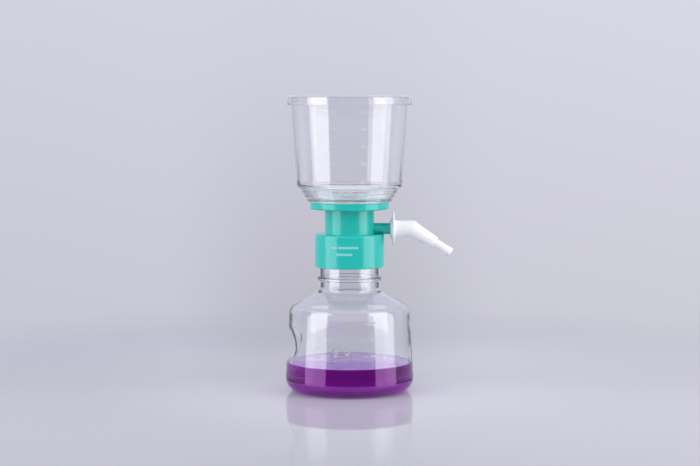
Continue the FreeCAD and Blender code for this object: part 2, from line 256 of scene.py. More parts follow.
def digits(text: str, height: float, thickness: float) -> Shell:
    """Plain numbers as a thin closed relief in flat coordinates (across, up, proud).

    Args:
        text: The digits.
        height: Height of a digit.
        thickness: How far they stand proud of 0.

    Returns:
        Closed shell whose middle is at 0 across and 0 up.
    """
    curve = bpy.data.curves.new("digits", "FONT")
    curve.body, curve.size = text, height / DIGIT_SHARE
    curve.resolution_u = DIGIT_CURVE_STEPS
    curve.align_x, curve.align_y = "CENTER", "CENTER"
    curve.extrude = thickness / 2
    holder = bpy.data.objects.new("digits", curve)
    mesh = bpy.data.meshes.new_from_object(holder)
    points = np.zeros(len(mesh.vertices) * 3)
    mesh.vertices.foreach_get("co", points)
    faces = [list(polygon.vertices) for polygon in mesh.polygons]
    bpy.data.objects.remove(holder)
    bpy.data.curves.remove(curve)
    bpy.data.meshes.remove(mesh)
    return Shell(points.reshape(-1, 3) + [0, 0, thickness / 2], faces)


def wrapped(flat: Shell, across: float, height: float,
            wall: Callable[[np.ndarray], np.ndarray]) -> Shell:
    """Flat mark laid on a round wall, on its front at -Y.

    With r the wall's radius at the point's height, the point (a, u, p) goes to the angle
    (across + a) / r from the front, the height height + u and the radius r + p.

    Args:
        flat: Mark in flat coordinates (across, up, proud).
        across: Its middle along the wall, to the right of the front.
        height: Its middle above the table.
        wall: The wall's radius at a height.

    Returns:
        The mark in place.
    """
    level = height + flat.points[:, 1]
    radius = wall(level)
    angle = (across + flat.points[:, 0]) / radius
    reach = radius + flat.points[:, 2]
    points = np.stack([reach * np.sin(angle), -reach * np.cos(angle), level], axis=1)
    return Shell(points, flat.faces)


@dataclass(frozen=True)
class RaisedScale:
    """Volume scale on the front of a round wall: a bar and a number for each level.

    Attributes:
        levels: Height and number of each mark.
        bar_size: Length and height of a bar.
        bar_across: Middle of the bars, to the right of the front.
        number_height: Height of a digit.
        number_across: Middle of the numbers, to the right of the front.
        thickness: How far the marks stand proud of the wall.
    """

    levels: tuple[tuple[float, str], ...]
    bar_size: tuple[float, float]
    bar_across: float
    number_height: float
    number_across: float
    thickness: float = 0.12

    def marks(self, wall: Callable[[np.ndarray], np.ndarray]) -> Shell:
        """Lays all marks on a wall.

        Args:
            wall: The wall's radius at a height.

        Returns:
            The marks in place.
        """
        made = []
        for height, label in self.levels:
            tick = bar(*self.bar_size, self.thickness)
            made.append(wrapped(tick, self.bar_across, height, wall))
            number = digits(label, self.number_height, self.thickness)
            made.append(wrapped(number, self.number_across, height, wall))
        return joined(made)


def smooth_step(share: np.ndarray) -> np.ndarray:
    """Rises from 0 to 1 with level ends: 3 s^2 - 2 s^3 of the share s, held within 0 and 1."""
    held = np.clip(share, 0, 1)
    return held * held * (3 - 2 * held)


def smooth_max(first: np.ndarray, second: np.ndarray, blend: float) -> np.ndarray:
    """Larger of two heights, with their crossing rounded over a difference of blend.

    Where they differ by d < blend, the larger one is raised by (blend - d)^2 / (4 blend).
    """
    near = np.maximum(blend - np.abs(first - second), 0)
    return np.maximum(first, second) + near * near / (4 * blend)


# ---- finishes ----

def linear(shade: str) -> Colour:
    """Linear red, green and blue of a six-figure display colour such as 2EBEB4."""
    parts = [int(shade[i:i + 2], 16) / 255 for i in (0, 2, 4)]
    return tuple(p / 12.92 if p <= 0.04045 else ((p + 0.055) / 1.055) ** 2.4 for p in parts)


class Nodes:
    """Short hand for making and linking the nodes of one tree."""

    def __init__(self, tree: bpy.types.NodeTree) -> None:
        """Empties the tree."""
        self.tree = tree
        tree.nodes.clear()

    def feed(self, socket: Socket, value: object) -> None:
        """Links or sets an input socket.

        Args:
            socket: The input socket.
            value: An output to link to it, or a value to set it to.
        """
        if isinstance(value, Socket):
            self.tree.links.new(value, socket)
        else:
            socket.default_value = value

    def add(self, kind: str, inputs: dict | None = None, **settings: object) -> bpy.types.Node:
        """Makes a node.

        Args:
            kind: Node type without its ShaderNode prefix.
            inputs: Socket name or number, to a value or to the output that feeds it.
            settings: Attributes of the node.

        Returns:
            The node.
        """
        node = self.tree.nodes.new("ShaderNode" + kind)
        for key, value in settings.items():
            setattr(node, key, value)
        for key, value in (inputs or {}).items():
            self.feed(node.inputs[key], value)
        return node

    @cached_property
    def place(self) -> Socket:
        """Place on the piece, in its own coordinates."""
        return self.add("TexCoord").outputs["Object"]

    @cached_property
    def path(self) -> Outputs:
        """Outputs that tell what the light has met."""
        return self.add("LightPath").outputs

    def parts(self, vector: Socket) -> Outputs:
        """Outputs X, Y and Z of a vector."""
        return self.add("SeparateXYZ", {0: vector}).outputs

    def noise(self, place: Socket, scale: float, detail: float = 2.0) -> Socket:
        """Soft noise over a place, mostly between 0.3 and 0.7."""
        inputs = {"Vector": place, "Scale": scale, "Detail": detail}
        return self.add("TexNoise", inputs).outputs[0]

    def maths(self, operation: str, *values: object) -> Socket:
        """Output of a Math node on values or outputs."""
        return self.add("Math", dict(enumerate(values)), operation=operation).outputs[0]

    def product(self, *values: object) -> Socket:
        """Product of values or outputs."""
        return reduce(lambda first, other: self.maths("MULTIPLY", first, other), values)

    def mapped(self, value: Socket, source: Range, target: tuple[object, object],
               smooth: bool = False) -> Socket:
        """Carries a value from one range to another, and holds it there.

        Args:
            value: Output with the value.
            source: Range that it comes from.
            target: Range that it goes to, as values or outputs.
            smooth: Whether it starts and ends softly.

        Returns:
            Output of the Map Range node.
        """
        inputs = {"Value": value, "From Min": source[0], "From Max": source[1],
                  "To Min": target[0], "To Max": target[1]}
        kind = "SMOOTHSTEP" if smooth else "LINEAR"
        return self.add("MapRange", inputs, interpolation_type=kind).outputs[0]

    def rise(self, value: Socket, source: Range) -> Socket:
        """Soft step from 0 to 1 over a range of the value."""
        return self.mapped(value, source, (0, 1), smooth=True)

    def fall(self, value: Socket, source: Range) -> Socket:
        """Soft step from 1 to 0 over a range of the value."""
        return self.mapped(value, source, (1, 0), smooth=True)

    def mixed(self, share: object, first: object, second: object) -> Socket:
        """Colour between two colours or colour outputs by a share."""
        ends = [end if isinstance(end, Socket) else (*end, 1) for end in (first, second)]
        return self.add("Mix", {0: share, 6: ends[0], 7: ends[1]}, data_type="RGBA").outputs[2]

    def blend(self, share: Socket, first: Socket, second: Socket) -> Socket:
        """Shader between two shaders by a share."""
        return self.add("MixShader", {0: share, 1: first, 2: second}).outputs[0]

    def thrown_back(self) -> Socket:
        """Value 1 for light that a surface has thrown back, 0 for what only passed through."""
        depth = self.maths("ADD", self.path["Glossy Depth"], self.path["Diffuse Depth"])
        return self.maths("MINIMUM", depth, 1.0)


def new_material(name: str) -> tuple[bpy.types.Material, Nodes]:
    """Makes a material with an empty node tree.

    Args:
        name: Name of the material.

    Returns:
        The material and its nodes.
    """
    made = bpy.data.materials.new(name)
    made.use_nodes = True
    return made, Nodes(made.node_tree)


class Relief(Enum):
    """Kind of fine relief on a surface."""

    MOULDED = "even skin of an injection moulding"
    BLOWN = "slow waves of a blown wall"
    FIBROUS = "matted fibres"
    LIQUID = "still liquid"


NOISE_SPAN = (0.3, 0.7)          # where nearly all of a noise lies
PATCH_SCALE = 60.0               # soft patches of colour, per metre
SKIN_SCALE = 420.0               # patches of more and less gloss, per metre
SKIN_DETAIL = 4.0
SOAK_DEPTH = 2.5 * MM            # how far light soaks into a white or teal moulding


@dataclass(frozen=True)
class RearGlare:
    """Painted glare: a paler colour on a liquid's top towards the rear, where light from behind
    washes it out.

    Attributes:
        shade: Display colour of the rear.
        reach: Where along Y it starts and is complete, in millimetres.
        ripple: How far ripples shift that border, in millimetres.
        stretch: Ripples per metre along X, Y and Z.
    """

    shade: str
    reach: Range = (-12.0, 10.0)
    ripple: float = 4.0
    stretch: tuple[float, float, float] = (40.0, 400.0, 1.0)


@dataclass(frozen=True)
class Finish:
    """Look of one material: its colour, gloss and fine relief, all from nodes.

    Attributes:
        name: Name of the material.
        shade: Display colour, six figures.
        roughness: Lowest and highest roughness, by a fine noise.
        relief: Kind of relief.
        relief_size: Size of a grain or wave, in millimetres.
        relief_depth: Its height, in millimetres.
        mottle: Share by which the colour darkens and lightens in soft patches.
        clear: 1 for a see-through material.
        index: Index of refraction.
        mirror: Colour by which the mirror reflection is dimmed face on.
        lamps: Share of a lamp's light that goes straight through each face of a clear piece.
        glow: Share of light that soaks into the surface.
        absorbed: Colour that a see-through body lets pass, and its density per metre.
        rear: Painted glare, a paler colour towards the rear.
    """

    name: str
    shade: str
    roughness: Range
    relief: Relief = Relief.MOULDED
    relief_size: float = 0.8
    relief_depth: float = 0.01
    mottle: float = 0.03
    clear: float = 0.0
    index: float = 1.5
    mirror: Colour = (1.0, 1.0, 1.0)
    lamps: float = 0.9
    glow: float = 0.0
    absorbed: tuple[Colour, float] | None = None
    rear: RearGlare | None = None

    def pattern(self, nodes: Nodes) -> Socket:
        """Relief of the surface.

        Args:
            nodes: The material's nodes.

        Returns:
            Output with its height, from 0 to 1.
        """
        scale = 1 / (self.relief_size * MM)
        if self.relief is Relief.FIBROUS:
            cells = nodes.add("TexVoronoi", {"Vector": nodes.place, "Scale": scale},
                              feature="DISTANCE_TO_EDGE")
            return cells.outputs["Distance"]
        detail = {Relief.MOULDED: 3.0, Relief.BLOWN: 1.0, Relief.LIQUID: 0.0}[self.relief]
        return nodes.noise(nodes.place, scale, detail)

    def patches(self, nodes: Nodes) -> Socket:
        """Colour of the surface where it changes over the piece.

        It is mixed from a darker and a paler one by a soft noise, or, for a liquid's top, from
        the plain one to the rear one by Y, a painted glare, with a border that a stretched noise
        moves.

        Args:
            nodes: The material's nodes.

        Returns:
            Output with the colour.
        """
        colour = linear(self.shade)
        if self.rear is None:
            dark = tuple(c * (1 - self.mottle) for c in colour)
            pale = tuple(min(1.0, c * (1 + self.mottle)) for c in colour)
            return nodes.mixed(nodes.noise(nodes.place, PATCH_SCALE), dark, pale)
        # Painted glare: the liquid's top turns paler towards the rear.
        shift = self.rear.ripple * MM
        stretched = nodes.add("Mapping", {"Vector": nodes.place, "Scale": self.rear.stretch})
        ripple = nodes.mapped(nodes.noise(stretched.outputs[0], 1.0), NOISE_SPAN, (-shift, shift))
        rearward = nodes.maths("ADD", nodes.parts(nodes.place)["Y"], ripple)
        start, end = self.rear.reach
        return nodes.mixed(nodes.rise(rearward, (start * MM, end * MM)), colour,
                           linear(self.rear.shade))

    def material(self) -> bpy.types.Material:
        """Makes the material.

        Returns:
            Material with one Principled shader and its procedural patterns.
        """
        made, nodes = new_material(self.name)
        shader = nodes.add("BsdfPrincipled", {
            "Base Color": (*linear(self.shade), 1), "IOR": self.index,
            "Transmission Weight": self.clear, "Specular Tint": (*self.mirror, 1)})
        inputs = shader.inputs
        if self.mottle > 0 or self.rear is not None:
            nodes.feed(inputs["Base Color"], self.patches(nodes))
        skin = nodes.noise(nodes.place, SKIN_SCALE, SKIN_DETAIL)
        nodes.feed(inputs["Roughness"], nodes.mapped(skin, NOISE_SPAN, self.roughness))
        bump = nodes.add("Bump", {"Height": self.pattern(nodes), "Strength": 1.0,
                                  "Distance": self.relief_depth * MM})
        nodes.feed(inputs["Normal"], bump.outputs[0])
        if self.glow > 0:
            inputs["Subsurface Weight"].default_value = self.glow
            inputs["Subsurface Scale"].default_value = SOAK_DEPTH
            inputs["Subsurface Radius"].default_value = (1, 1, 1)
        surface = shader.outputs[0]
        if self.clear > 0:
            through = nodes.add("BsdfTransparent", {"Color": (*[self.lamps] * 3, 1)})
            surface = nodes.blend(nodes.path["Is Shadow Ray"], surface, through.outputs[0])
        output = nodes.add("OutputMaterial", {"Surface": surface})
        if self.absorbed is not None:
            passed, density = self.absorbed
            body = nodes.add("VolumeAbsorption", {"Color": (*passed, 1), "Density": density})
            nodes.feed(output.inputs["Volume"], body.outputs[0])
        return made


DYE = (0.79, 0.08, 0.82)         # colour that the filtrate lets pass
PURPLE_MIRROR = (0.8, 0.08, 0.9)

CLEAR_LID = Finish("clear_lid_plastic", "F4F4F6", (0.03, 0.08), Relief.BLOWN, 22.0, 0.02,
                   mottle=0, clear=0.95)
HAZY_RIM = Finish("hazy_lid_rim", "F4F4F8", (0.1, 0.2), mottle=0, clear=0.4)
CLEAR_FUNNEL = Finish("clear_funnel_plastic", "FAFAFC", (0.0, 0.03), Relief.BLOWN, 24.0, 0.02,
                      mottle=0, clear=1.0)
HAZY_FOOT = Finish("hazy_funnel_foot", "ECF1F4", (0.03, 0.1), mottle=0, clear=0.87)
CLEAR_BOTTLE = Finish("clear_bottle_plastic", "F8F8FB", (0.0, 0.03), Relief.BLOWN, 18.0, 0.05,
                      mottle=0, clear=1.0, index=1.56)
WETTED_BOTTLE = replace(CLEAR_BOTTLE, name="wetted_bottle_plastic", mirror=PURPLE_MIRROR)
BACKED_BOTTLE = replace(CLEAR_BOTTLE, name="bottle_plastic_before_liquid", index=1.44)
TEAL = Finish("teal_moulded_plastic", "20C1B3", (0.16, 0.22), Relief.MOULDED, 0.9, 0.006,
              mottle=0.05, index=1.58, glow=0.1)
WHITE = Finish("white_moulded_plastic", "F7F7F8", (0.38, 0.48), Relief.MOULDED, 0.7, 0.012,
               mottle=0.015, glow=0.25)
RUBBER = Finish("gasket_rubber", "D9DCDD", (0.5, 0.6), Relief.MOULDED, 0.5, 0.02, mottle=0.04)
FIBRE = Finish("plug_fibre", "EFEDE6", (0.85, 0.95), Relief.FIBROUS, 0.35, 0.08, mottle=0.06)
MEMBRANE = Finish("filter_membrane", "F7F7F5", (0.75, 0.9), Relief.FIBROUS, 0.3, 0.03,
                  mottle=0.02)
PRINT = Finish("collar_print", "84D2CB", (0.45, 0.55), Relief.MOULDED, 0.4, 0.004)
MARKS = Finish("raised_scale_marks", "E4E4EA", (0.3, 0.4), Relief.MOULDED, 0.4, 0.004,
               mottle=0, clear=0.55)
PURPLE = Finish("purple_filtrate", "DA32E4", (0.0, 0.01), Relief.LIQUID, 12.0, 0.05, mottle=0,
                clear=0.93, index=1.33, mirror=PURPLE_MIRROR, lamps=1.0, absorbed=(DYE, 60.0))
# The filtrate's foot: a paler, more matt copy of the filtrate, painted light that stands in for
# the light reaching it through the base.
PAINTED_FOOT_LIGHT = replace(PURPLE, name="purple_filtrate_foot_painted_light", shade="EA55FF", clear=0.84,
                      absorbed=(DYE, 66.0))
# The filtrate's top: a painted sheen, a violet own colour that stands in for the light seen in
# and through the surface, with the painted glare towards the rear.
PAINTED_TOP_SHEEN = replace(PAINTED_FOOT_LIGHT, name="filtrate_top_painted_sheen", shade="C052FF", relief_size=7.0,
                     relief_depth=0.45, clear=0.62, mirror=(0.3, 0.3, 1.0), rear=RearGlare("D4C2F6"))
FILM = Finish("bubble_film", "FFFFFF", (0.0, 0.01), Relief.LIQUID, 3.0, mottle=0, clear=1.0,
              index=1.33)


def in_scene(name: str, data: bpy.types.ID) -> bpy.types.Object:
    """Makes an object and links it to the scene.

    Args:
        name: Name of the object.
        data: Its mesh, lamp or camera.

    Returns:
        The object.
    """
    made = bpy.data.objects.new(name, data)
    bpy.context.scene.collection.objects.link(made)
    return made


def place_piece(name: str, shell: Shell, finishes: Sequence[Finish], body: str,
                replaces: Sequence[str] = ()) -> None:
    """Makes a piece from a shell, at the origin, and puts it on its body.

    Args:
        name: Name of the piece.
        shell: Its surface, in place.
        finishes: Its materials, which the shell's faces count from 0.
        body: Moving body of the frame that carries it.
        replaces: Solids of the frame that it stands for.
    """
    mesh = bpy.data.meshes.new(name)
    mesh.from_pydata((shell.points * MM).tolist(), [], shell.faces)
    mesh.polygons.foreach_set("use_smooth", np.ones(len(mesh.polygons), bool))
    mesh.set_sharp_from_angle(angle=SHARP_ANGLE)
    for finish in finishes:
        mesh.materials.append(finish.material())
    if shell.finish is not None:
        mesh.polygons.foreach_set("material_index", shell.finish.astype(np.int32))
    piece = in_scene(name, mesh)
    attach(piece, body)
    if replaces:
        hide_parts(*replaces)
    LOG.info("%s: %d faces on %s", name, len(mesh.polygons), body)


def dress_node(node: str, finish: Finish) -> None:
    """Gives a solid of the frame its finish.

    Args:
        node: Name of the solid.
        finish: Its finish.
    """
    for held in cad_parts[node].material_slots:
        held.material = finish.material()
    LOG.info("%s: %s", node, finish.name)


# ---- receiver bottle and filtrate ----

@dataclass
class Receiver:
    """Blown bottle with a finger grip, its neck, its scale and the filtrate that stands in it."""

    body: str = "receiver"
    base_radius: float = 47.15
    top_radius: float = 43.65
    shoulder_height: float = 61.2
    shoulder_rise: float = 11.7
    shoulder_rounding: float = 8.0
    wall: float = 1.8
    base_thickness: float = 2.2
    base_rounding: float = 9.5
    foot_ring_width: float = 4.5
    push_up_height: float = 2.0
    push_up_slope: float = 6.0
    push_up_rounding: float = 3.0
    neck_radius: float = 21.7
    neck_wall: float = 2.2
    neck_rounding: float = 3.0
    mouth_rounding: float = 0.5
    bead_above_root: float = 7.7
    bead_width: float = 2.4
    bead_projection: float = 1.55
    bead_rounding: float = 0.7
    bead_root_rounding: float = 0.15
    grip_radius: float = 15.4
    grip_depth: float = 6.5
    grip_height: float = 34.6
    grip_blend: float = 1.4
    thread_pitch: float = 4.2
    thread_depth: float = 1.25
    thread_root: float = 1.9
    thread_crest: float = 1.0
    thread_below_mouth: float = 4.4
    thread_fade: float = 0.04              # share of a turn
    wave_height: float = 0.05
    wave_folds: tuple[int, int] = (5, 9)
    wave_pitches: tuple[float, float, float] = (9.0, 6.0, 13.0)
    wave_radius: float = 45.0
    second_wave: float = 0.6
    row_spacing: float = 1.5
    thread_row_spacing: float = 0.35
    thread_row_ends: Range = (1.2, 3.0)    # under the thread's foot and under the mouth
    overlap: float = 0.12
    heel_height: float = 9.0
    meniscus_rise: float = 0.35
    meniscus_reach: float = 1.8
    ridge_reach: float = 1.2
    liquid_row_spacing: float = 1.2
    surface_rows: int = 70
    surface_crowding: float = 1.6
    bubble_radius: float = 8.3
    bubble_film: float = 0.3
    bubble_place: tuple[float, float] = (-6.3, 21.0)
    bubble_grid: tuple[int, int] = (28, 96)
    scale: RaisedScale = RaisedScale(
        levels=((30.8, "150"), (42.2, "200"), (53.6, "250")), bar_size=(2.4, 0.4),
        bar_across=12.0, number_height=2.0, number_across=16.6)
    mouth_height: float = float(span("bottle")[1][2])
    level: float = float(span("filtrate")[1][2])

    def wall_radius(self, height: np.ndarray | float) -> np.ndarray | float:
        """Outer radius of the straight wall at a height."""
        share = height / self.shoulder_height
        return self.base_radius + (self.top_radius - self.base_radius) * share

    @property
    def foot_radius(self) -> float:
        """Inner radius of the base's foot ring."""
        return self.base_radius - self.base_rounding - self.foot_ring_width

    @property
    def bore(self) -> float:
        """Radius of the neck's bore."""
        return self.neck_radius - self.neck_wall

    @property
    def thread_foot(self) -> float:
        """Height at which the thread's middle starts."""
        return self.mouth_height - self.thread_below_mouth - self.thread_pitch

    def shoulder_line(self, radius: float, depth: float) -> float:
        """Height of the shoulder's cone.

        Args:
            radius: Radius at which it is asked for.
            depth: How far under the outer face.

        Returns:
            Height above the table.
        """
        angle = math.atan2(self.shoulder_rise, self.top_radius - self.neck_radius)
        rise = (self.top_radius - radius) * math.tan(angle)
        return self.shoulder_height + rise - depth / math.cos(angle)

    def outside(self) -> np.ndarray:
        """Outline of the outer face, from the middle of the base to the mouth.

        Returns:
            Array of (radius, height) points.
        """
        root = self.shoulder_height + self.shoulder_rise
        bead = root + self.bead_above_root
        bead_radius = self.neck_radius + self.bead_projection
        return rounded([
            (0, self.push_up_height, 0),
            (self.foot_radius - self.push_up_slope, self.push_up_height, self.push_up_rounding),
            (self.foot_radius, 0, self.push_up_rounding),
            (self.base_radius, 0, self.base_rounding),
            (self.top_radius, self.shoulder_height, self.shoulder_rounding),
            (self.neck_radius, root, self.neck_rounding),
            (self.neck_radius, bead, self.bead_root_rounding),
            (bead_radius, bead, self.bead_rounding),
            (bead_radius, bead + self.bead_width, self.bead_rounding),
            (self.neck_radius, bead + self.bead_width, self.bead_root_rounding),
            (self.neck_radius, self.mouth_height, self.mouth_rounding),
            (self.bore, self.mouth_height, 0),
        ])

    def inside(self, wall: float, base: float) -> np.ndarray:
        """Outline of the inner face, from the middle of the base to the mouth.

        Args:
            wall: Thickness of the wall.
            base: Thickness of the base.

        Returns:
            Array of (radius, height) points.
        """
        middle = self.push_up_height + base
        top = self.top_radius - wall
        return rounded([
            (0, middle, 0),
            (self.foot_radius - self.push_up_slope, middle, self.push_up_rounding),
            (self.foot_radius, base, self.push_up_rounding),
            (self.wall_radius(base) - wall, base, self.base_rounding - wall),
            (top, self.shoulder_line(top, wall), self.shoulder_rounding - wall),
            (self.bore, self.shoulder_line(self.bore, wall), self.neck_rounding + wall),
            (self.bore, self.mouth_height, 0),
        ])

    def pressed(self, grid: np.ndarray, depth: float) -> np.ndarray:
        """Grid with the finger grip pressed in at -X.

        The grip is a cylinder along Y. Below and above its middle height it reaches
        x = centre + sqrt(R^2 - dz^2), and the wall is moved along X to that place with a
        rounded rim. R grows by the depth under the outer face.

        Args:
            grid: Points (rows, columns, 3).
            depth: How far these rows lie under the outer face at the grip.

        Returns:
            The grid reshaped.
        """
        middle = -(self.wall_radius(self.grip_height) - self.grip_depth + self.grip_radius)
        radius = self.grip_radius + depth
        across = radius ** 2 - (grid[..., 2] - self.grip_height) ** 2
        reach = middle + np.sqrt(np.maximum(across, 0))
        moved = smooth_max(grid[..., 0], reach, self.grip_blend)
        within = (across > 0) & (grid[..., 0] < 0)
        x = np.where(within, moved, grid[..., 0])
        return np.stack([x, grid[..., 1], grid[..., 2]], axis=2)

    def threaded(self, grid: np.ndarray) -> np.ndarray:
        """Outer rows with the neck's screw ridge raised.

        At turn t, from 0 to 1 round the neck, the ridge's middle is foot + pitch t. The neck
        grows there by a trapezium of its root and crest widths, which fades in at both ends.

        Args:
            grid: Points (rows, columns, 3).

        Returns:
            The grid reshaped.
        """
        turn = np.mod(np.arctan2(grid[..., 1], grid[..., 0]), 2 * math.pi) / (2 * math.pi)
        off = np.abs(grid[..., 2] - self.thread_foot - self.thread_pitch * turn)
        slope = (self.thread_root - self.thread_crest) / 2
        height = self.thread_depth * np.clip((self.thread_root / 2 - off) / slope, 0, 1)
        height *= smooth_step(turn / self.thread_fade)
        height *= smooth_step((1 - turn) / self.thread_fade)
        growth = 1 + height / self.neck_radius
        return np.stack([grid[..., 0] * growth, grid[..., 1] * growth, grid[..., 2]], axis=2)

    def waved(self, grid: np.ndarray) -> np.ndarray:
        """Inner rows moved in and out by slow waves, as a blown wall is never even.

        At angle a and height z the radius grows by a share of the wave height: the sine of
        five folds of a, leaning with z, times a sine of z, plus a weaker sine of nine folds.

        Args:
            grid: Points (rows, columns, 3).

        Returns:
            The grid reshaped.
        """
        angle = np.arctan2(grid[..., 1], grid[..., 0])
        level = grid[..., 2]
        lean, rise, lean_back = (level / pitch for pitch in self.wave_pitches)
        first, second = self.wave_folds
        wave = np.sin(first * angle + lean) * np.sin(rise + 1)
        wave = wave + self.second_wave * np.sin(second * angle - lean_back)
        growth = 1 + self.wave_height * wave / self.wave_radius
        return np.stack([grid[..., 0] * growth, grid[..., 1] * growth, level], axis=2)

    def bottle(self) -> Shell:
        """Bottle as one grid: outer face, mouth and inner face.

        Under the liquid's level the inner face gets the second finish and the outer the third.

        Returns:
            The closed shell.
        """
        below_thread, below_mouth = self.thread_row_ends
        outer = refined(refined(self.outside(), self.row_spacing), self.thread_row_spacing,
                        self.thread_foot - below_thread, self.mouth_height - below_mouth)
        inner = refined(self.inside(self.wall, self.base_thickness), self.row_spacing)[::-1]
        count = len(outer) - 1

        def moved(grid: np.ndarray) -> np.ndarray:
            """Outer rows get the thread and grip, and inner rows the waves and grip."""
            outside = self.pressed(self.threaded(grid[:count]), 0)
            return np.concatenate([outside, self.pressed(self.waved(grid[count:]), self.wall)])

        shell = turned(np.vstack([outer, inner[1:]]), moved)
        first = earliest(shell)
        low = shell.points[first, 2] < self.level
        outside = first < count * ROUND_STEPS
        return Shell(shell.points, shell.faces, np.where(low, np.where(outside, 2, 1), 0))

    def ridged(self, top: np.ndarray) -> np.ndarray:
        """Liquid's top with a ridge round the bubble, of rise e^(-d / reach) at d from its foot.

        Args:
            top: Points (rows, columns, 3).

        Returns:
            The rows reshaped.
        """
        x, y, height = np.moveaxis(top, 2, 0)
        off = np.hypot(x - self.bubble_place[0], y - self.bubble_place[1]) - self.bubble_radius
        height = height + self.meniscus_rise * np.exp(-np.abs(off) / self.ridge_reach)
        return np.stack([x, y, height], axis=2)

    def filtrate(self) -> Shell:
        """Closed body of liquid that reaches a hair into the bottle's inner face.

        Its top is level, and near the wall it climbs by rise e^(-d / reach) at a distance d.
        The top gets the second finish, a painted sheen and glare, and the foot, under the heel's
        height, the third, a paler copy that is painted light.

        Returns:
            The closed shell.
        """
        wall, base = self.wall - self.overlap, self.base_thickness - self.overlap
        cavity = refined(self.inside(wall, base), self.liquid_row_spacing)
        contact = self.level + self.meniscus_rise
        below = cavity[cavity[:, 1] < contact]
        rows_below = len(below) - 1
        edge = self.wall_radius(contact) - self.wall + self.overlap
        radius = edge * (1 - np.linspace(0, 1, self.surface_rows)[:-1] ** self.surface_crowding)
        climb = self.meniscus_rise * np.exp((radius - edge) / self.meniscus_reach)
        surface = np.stack([radius, self.level + climb], axis=1)

        def moved(grid: np.ndarray) -> np.ndarray:
            """Grip on the whole body, and the ridge round the bubble on its top."""
            body = self.pressed(grid, wall)
            return np.concatenate([body[:rows_below], self.ridged(body[rows_below:])])

        shell = turned(np.vstack([below, surface, [[0, self.level]]]), moved)
        first = earliest(shell)
        top = first >= rows_below * ROUND_STEPS
        foot = ~top & (shell.points[first, 2] < self.heel_height)
        return Shell(shell.points, shell.faces, top + 2 * foot)

    def bubble(self) -> Shell:
        """Half a round film that stands on the liquid: two quarter circles turned about Z.

        Returns:
            The closed shell.
        """
        rows, columns = self.bubble_grid
        angle = np.linspace(0, math.pi / 2, rows)
        circle = np.stack([np.cos(angle), np.sin(angle)], axis=1)
        circle[-1, 0] = 0
        inner = circle[::-1] * (self.bubble_radius - self.bubble_film)
        shell = turned(np.vstack([inner, circle * self.bubble_radius]), steps=columns)
        return Shell(shell.points + [*self.bubble_place, self.level], shell.faces)

    def build(self) -> None:
        """Makes the bottle, its scale, the filtrate and the bubble on it."""
        plastics = [CLEAR_BOTTLE, WETTED_BOTTLE, BACKED_BOTTLE]
        # The top's finish is a painted sheen and glare, and the foot's is painted light.
        liquids = [PURPLE, PAINTED_TOP_SHEEN, PAINTED_FOOT_LIGHT]
        marks = self.scale.marks(self.wall_radius)
        place_piece("bottle_shell", self.bottle(), plastics, self.body,
                    ["bottle"])
        place_piece("bottle_scale", marks, [MARKS], self.body)
        place_piece("filtrate_body", self.filtrate(), liquids, self.body,
                    ["filtrate"])
        place_piece("filtrate_bubble", self.bubble(), [FILM], self.body)


# ---- adapter, gasket, plug and membrane ----

@dataclass
class Closure:
    """Teal adapter that screws on the neck, with its gasket, vacuum plug and membrane."""

    body: str = "filter_top"
    collar_radius: float = 25.15
    print_thickness: float = 0.03
    print_height: float = 1.7
    print_steps: int = 16
    print_rows: tuple[tuple[float, tuple[Range, ...]], ...] = (
        (105.7, ((-11.9, 5.2), (-0.9, 14.6))),
        (100.8, ((-3.9, 11.8),)),
    )

    def collar(self, height: np.ndarray) -> np.ndarray:
        """Radius of the collar, which is the same at every height."""
        return np.full_like(height, self.collar_radius)

    def print_bars(self) -> Shell:
        """Plain bars in two rows on the collar's front, each given by its middle and length.

        Returns:
            The bars in place.
        """
        made = []
        for height, bars in self.print_rows:
            for across, length in bars:
                flat = bar(length, self.print_height, self.print_thickness, self.print_steps)
                made.append(wrapped(flat, across, height, self.collar))
        return joined(made)

    def build(self) -> None:
        """Dresses the solids and adds the print's plain bars."""
        dress_node("adapter", TEAL)
        dress_node("neck_gasket", RUBBER)
        dress_node("port_plug", FIBRE)
        dress_node("membrane", MEMBRANE)
        place_piece("collar_print_bars", self.print_bars(), [PRINT], self.body)


# ---- funnel and lid ----

